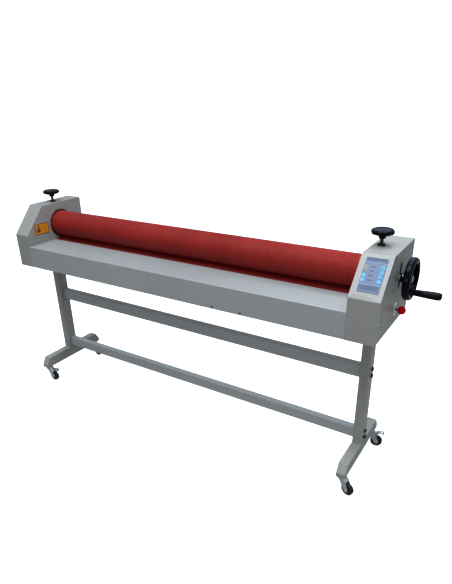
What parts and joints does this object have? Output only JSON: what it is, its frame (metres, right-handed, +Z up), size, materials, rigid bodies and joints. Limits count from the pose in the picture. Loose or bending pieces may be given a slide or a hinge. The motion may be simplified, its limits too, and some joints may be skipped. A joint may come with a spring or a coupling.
{
  "type": "cold roll laminator",
  "caption": "Wide cold laminator: red rubber nip rollers between grey end cabinets with pressure knobs, key panel and crank wheel, on a wheeled stand.",
  "frame": {"origin": "on the floor, at the centre of the machine's overall box", "axes": "+X along the rollers towards the crank, +Y towards the exit side, +Z up"},
  "size_m": [1.935, 0.386, 0.9825],
  "materials": {
    "grey_paint": "fine-textured powder coat, light warm grey",
    "red_rubber": "ground silicone rubber, matte",
    "black_plastic": "moulded phenolic, glossy",
    "red_plastic": "moulded, glossy",
    "black_steel": "black oxide",
    "bright_steel": "turned and ground",
    "zinc": "bright zinc plate",
    "silver_plate": "satin anodised",
    "cast_steel": "machined",
    "bronze": "machined bearing bronze",
    "panel_film": "printed membrane, violet grey",
    "key_blue": "domed membrane, light blue",
    "motor_paint": "dark grey paint",
    "black_tread": "moulded, matte"
  },
  "bodies": {
    "machine": {"left_cabinet_shell": "grey_paint", "right_cabinet_shell": "grey_paint", "left_end_cover": "grey_paint", "right_end_cover": "grey_paint", "cover_screws": "zinc", "left_side_frame": "cast_steel", "right_side_frame": "cast_steel", "screw_bridges": "cast_steel", "frame_bolts": "zinc", "feed_table": "grey_paint", "exit_table": "grey_paint", "tie_beams": "grey_paint", "left_leg": "grey_paint", "right_leg": "grey_paint", "upper_crossbar": "grey_paint", "lower_crossbar": "grey_paint", "crossbar_bolts": "black_steel", "lower_bearings": "bronze", "adjuster_collars": "black_steel", "gear_motor": "motor_paint", "pivot_pins": "bright_steel", "lever_plate": "silver_plate", "control_panel": "panel_film", "caster_stems": "zinc"},
    "carriage": {"bearing_blocks": "cast_steel", "upper_bearings": "bright_steel"},
    "left_adjuster": {"left_pressure_screw": "black_steel", "left_pressure_knob": "black_plastic"},
    "right_adjuster": {"right_pressure_screw": "black_steel", "right_pressure_knob": "black_plastic"},
    "upper_roller": {"upper_roller_core": "bright_steel", "upper_roller_rubber": "red_rubber", "handwheel": "black_plastic", "grub_screw": "zinc", "grip_bolt": "bright_steel"},
    "grip": {"crank_grip": "black_plastic"},
    "lower_roller": {"lower_roller_core": "bright_steel", "lower_roller_rubber": "red_rubber"},
    "sleeve": {"clutch_sleeve": "bright_steel"},
    "gear": {"roller_gear": "bright_steel"},
    "idler": {"idler_gear": "bright_steel"},
    "pinion": {"motor_pinion": "bright_steel"},
    "lever": {"clutch_lever": "black_steel", "lever_ball": "red_plastic"},
    "forward_button": {"forward_key": "key_blue"},
    "stop_button": {"stop_key": "key_blue"},
    "reverse_button": {"reverse_key": "key_blue"},
    "pedal_button": {"pedal_key": "key_blue"},
    "faster_button": {"faster_key": "key_blue"},
    "slower_button": {"slower_key": "key_blue"},
    "front_left_swivel": {"front_left_fork": "zinc"},
    "front_left_roll": {"front_left_wheel": "black_tread"},
    "front_left_pedal": {"front_left_brake": "zinc"},
    "front_right_swivel": {"front_right_fork": "zinc"},
    "front_right_roll": {"front_right_wheel": "black_tread"},
    "rear_left_swivel": {"rear_left_fork": "zinc"},
    "rear_left_roll": {"rear_left_wheel": "black_tread"},
    "rear_right_swivel": {"rear_right_fork": "zinc"},
    "rear_right_roll": {"rear_right_wheel": "black_tread"},
    "rear_right_pedal": {"rear_right_brake": "zinc"}
  },
  "joints": [
    {"name": "nip_lift", "type": "slide", "parent": "machine", "child": "carriage", "axis": [0, 0, 1], "range_m": [-0.0038, 0.007]},
    {"name": "left_knob_turn", "type": "hinge", "parent": "carriage", "child": "left_adjuster", "pos_m": [-0.9195, 0.048, 0.97], "axis": [0, 0, 1], "range_deg": [-782, 1441]},
    {"name": "right_knob_turn", "type": "hinge", "parent": "carriage", "child": "right_adjuster", "pos_m": [0.75, 0.048, 0.97], "axis": [0, 0, 1], "range_deg": [-782, 1441]},
    {"name": "upper_roller_turn", "type": "hinge", "parent": "carriage", "child": "upper_roller", "pos_m": [0, 0.048, 0.822], "axis": [1, 0, 0], "continuous": true},
    {"name": "grip_turn", "type": "hinge", "parent": "upper_roller", "child": "grip", "pos_m": [0.9195, 0.07048, 0.76637], "axis": [1, 0, 0], "continuous": true},
    {"name": "lower_roller_turn", "type": "hinge", "parent": "machine", "child": "lower_roller", "pos_m": [0, 0.048, 0.705], "axis": [1, 0, 0], "continuous": true},
    {"name": "gear_turn", "type": "hinge", "parent": "machine", "child": "gear", "pos_m": [0.7665, 0.048, 0.705], "axis": [1, 0, 0], "continuous": true},
    {"name": "idler_turn", "type": "hinge", "parent": "machine", "child": "idler", "pos_m": [0.7665, -0.0175, 0.697], "axis": [1, 0, 0], "continuous": true},
    {"name": "pinion_turn", "type": "hinge", "parent": "machine", "child": "pinion", "pos_m": [0.7665, -0.0635, 0.697], "axis": [1, 0, 0], "continuous": true},
    {"name": "clutch_lever_tilt", "type": "hinge", "parent": "machine", "child": "lever", "pos_m": [0.7855, 0.0355, 0.752], "axis": [0, 1, 0], "range_deg": [-7, 7]},
    {"name": "clutch_slide", "type": "slide", "parent": "lower_roller", "child": "sleeve", "axis": [1, 0, 0], "range_m": [-0.0038, 0.0038]},
    {"name": "forward_press", "type": "slide", "parent": "machine", "child": "forward_button", "axis": [0, 0.7394, -0.6733], "range_m": [0, 0.0005], "stiffness_N_per_m": 3000},
    {"name": "stop_press", "type": "slide", "parent": "machine", "child": "stop_button", "axis": [0, 0.7394, -0.6733], "range_m": [0, 0.0005], "stiffness_N_per_m": 3000},
    {"name": "reverse_press", "type": "slide", "parent": "machine", "child": "reverse_button", "axis": [0, 0.7394, -0.6733], "range_m": [0, 0.0005], "stiffness_N_per_m": 3000},
    {"name": "pedal_press", "type": "slide", "parent": "machine", "child": "pedal_button", "axis": [0, 0.7394, -0.6733], "range_m": [0, 0.0005], "stiffness_N_per_m": 3000},
    {"name": "faster_press", "type": "slide", "parent": "machine", "child": "faster_button", "axis": [0, 0.7394, -0.6733], "range_m": [0, 0.0005], "stiffness_N_per_m": 3000},
    {"name": "slower_press", "type": "slide", "parent": "machine", "child": "slower_button", "axis": [0, 0.7394, -0.6733], "range_m": [0, 0.0005], "stiffness_N_per_m": 3000},
    {"name": "front_left_swivel_turn", "type": "hinge", "parent": "machine", "child": "front_left_swivel", "pos_m": [-0.9015, -0.168, 0.068], "axis": [0, 0, 1], "continuous": true},
    {"name": "front_left_wheel_turn", "type": "hinge", "parent": "front_left_swivel", "child": "front_left_roll", "pos_m": [-0.87361, -0.16556, 0.025], "axis": [0.0872, -0.9962, 0], "continuous": true},
    {"name": "front_left_brake_press", "type": "hinge", "parent": "front_left_swivel", "child": "front_left_pedal", "pos_m": [-0.88456, -0.16652, 0.06], "axis": [-0.0872, 0.9962, 0], "range_deg": [0, 11]},
    {"name": "front_right_swivel_turn", "type": "hinge", "parent": "machine", "child": "front_right_swivel", "pos_m": [0.7615, -0.168, 0.068], "axis": [0, 0, 1], "continuous": true},
    {"name": "front_right_wheel_turn", "type": "hinge", "parent": "front_right_swivel", "child": "front_right_roll", "pos_m": [0.78855, -0.17525, 0.025], "axis": [-0.2588, -0.9659, 0], "continuous": true},
    {"name": "rear_left_swivel_turn", "type": "hinge", "parent": "machine", "child": "rear_left_swivel", "pos_m": [-0.9015, 0.168, 0.068], "axis": [0, 0, 1], "continuous": true},
    {"name": "rear_left_wheel_turn", "type": "hinge", "parent": "rear_left_swivel", "child": "rear_left_roll", "pos_m": [-0.87354, 0.16653, 0.025], "axis": [-0.0523, -0.9986, 0], "continuous": true},
    {"name": "rear_right_swivel_turn", "type": "hinge", "parent": "machine", "child": "rear_right_swivel", "pos_m": [0.7615, 0.168, 0.068], "axis": [0, 0, 1], "continuous": true},
    {"name": "rear_right_wheel_turn", "type": "hinge", "parent": "rear_right_swivel", "child": "rear_right_roll", "pos_m": [0.78867, 0.17477, 0.025], "axis": [0.2419, -0.9703, 0], "continuous": true},
    {"name": "rear_right_brake_press", "type": "hinge", "parent": "rear_right_swivel", "child": "rear_right_pedal", "pos_m": [0.778, 0.17211, 0.06], "axis": [-0.2419, 0.9703, 0], "range_deg": [0, 11]}
  ],
  "couplings": [
    {"joint": "left_knob_turn", "follows": "nip_lift", "rad_per_m": 3590.4},
    {"joint": "right_knob_turn", "follows": "nip_lift", "rad_per_m": 3590.4},
    {"joint": "idler_turn", "follows": "gear_turn", "ratio": -1.2},
    {"joint": "pinion_turn", "follows": "gear_turn", "ratio": 2.25},
    {"joint": "clutch_slide", "follows": "clutch_lever_tilt", "m_per_rad": -0.031}
  ]
}
